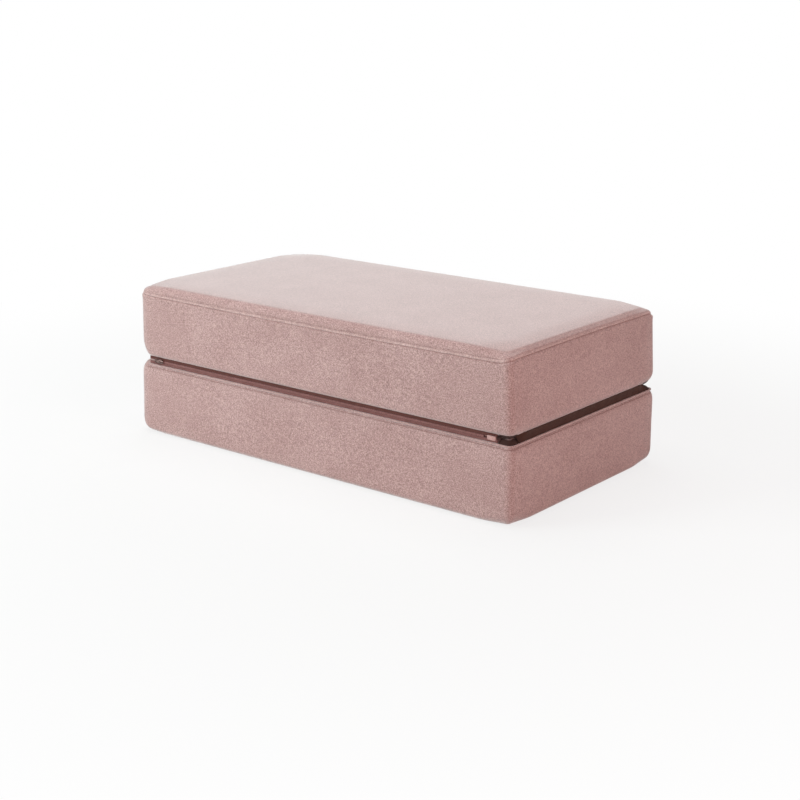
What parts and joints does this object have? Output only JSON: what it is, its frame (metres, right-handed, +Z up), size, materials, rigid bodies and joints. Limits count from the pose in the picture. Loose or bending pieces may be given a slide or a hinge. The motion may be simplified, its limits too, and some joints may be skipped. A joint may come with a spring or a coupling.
{
  "type": "fold out ottoman guest bed",
  "caption": "Upholstered foam ottoman in two stacked sections that unfold end to end into a single guest bed; separating zips close its long sides.",
  "frame": {"origin": "centre of the bounding box's bottom, on the floor", "axes": "+X along the long side towards the hinge strip, -Y towards the front side in the picture, +Z up"},
  "size_m": [0.98, 0.51, 0.3283],
  "materials": {
    "felt_cover": "melange wool felt, dusty pink",
    "hinge_cloth": "plain woven cloth, grey-brown",
    "zip_tape": "twill tape, mauve-brown",
    "foam": "open-cell foam, cream",
    "wadding": "polyester wadding, white",
    "zip_teeth": "moulded, mauve-brown",
    "zip_box": "moulded, light pink",
    "zip_metal": "nickel-plated, slightly worn"
  },
  "bodies": {
    "lower_section": {"lower_base_panel": "felt_cover", "lower_foam_core": "foam", "lower_groove_seam": "felt_cover", "lower_lid_panel": "felt_cover", "lower_side_band": "felt_cover", "lower_wadding": "wadding", "front_zip_lower_tape": "zip_tape", "front_zip_lower_teeth": "zip_teeth", "front_zip_lower_stop": "zip_metal", "front_zip_box": "zip_box", "back_zip_lower_tape": "zip_tape", "back_zip_lower_teeth": "zip_teeth", "back_zip_lower_stop": "zip_metal", "back_zip_box": "zip_box"},
    "hinge_strip": {"hinge_strip": "hinge_cloth"},
    "upper_section": {"upper_base_panel": "felt_cover", "upper_foam_core": "foam", "upper_groove_seam": "felt_cover", "upper_lid_panel": "felt_cover", "upper_seat_seam": "felt_cover", "upper_side_band": "felt_cover", "upper_wadding": "wadding", "front_zip_upper_tape": "zip_tape", "front_zip_upper_teeth": "zip_teeth", "front_zip_upper_stop": "zip_metal", "front_zip_pin": "zip_teeth", "back_zip_upper_tape": "zip_tape", "back_zip_upper_teeth": "zip_teeth", "back_zip_upper_stop": "zip_metal", "back_zip_pin": "zip_teeth"},
    "front_zip_slider": {"front_zip_slider": "zip_metal"},
    "front_zip_pull": {"front_zip_pull": "zip_metal"},
    "back_zip_slider": {"back_zip_slider": "zip_metal"},
    "back_zip_pull": {"back_zip_pull": "zip_metal"}
  },
  "joints": [
    {"name": "fold_lower", "type": "hinge", "parent": "lower_section", "child": "hinge_strip", "pos_m": [0.4834, 0, 0.15645], "axis": [0, 1, 0], "range_deg": [0, 90]},
    {"name": "fold_upper", "type": "hinge", "parent": "hinge_strip", "child": "upper_section", "pos_m": [0.4834, 0, 0.17185], "axis": [0, 1, 0], "range_deg": [0, 90]},
    {"name": "front_zip_travel", "type": "slide", "parent": "lower_section", "child": "front_zip_slider", "axis": [1, 0, 0], "range_m": [0, 0.8485], "deforming": ["front_zip_lower_teeth", "front_zip_upper_teeth"]},
    {"name": "front_zip_pull", "type": "hinge", "parent": "front_zip_slider", "child": "front_zip_pull", "pos_m": [-0.432, -0.2529, 0.16415], "axis": [0, 0, -1], "range_deg": [0, 180]},
    {"name": "back_zip_travel", "type": "slide", "parent": "lower_section", "child": "back_zip_slider", "axis": [1, 0, 0], "range_m": [0, 0.8485], "deforming": ["back_zip_lower_teeth", "back_zip_upper_teeth"]},
    {"name": "back_zip_pull", "type": "hinge", "parent": "back_zip_slider", "child": "back_zip_pull", "pos_m": [-0.432, 0.2529, 0.16415], "axis": [0, 0, 1], "range_deg": [0, 180]}
  ]
}
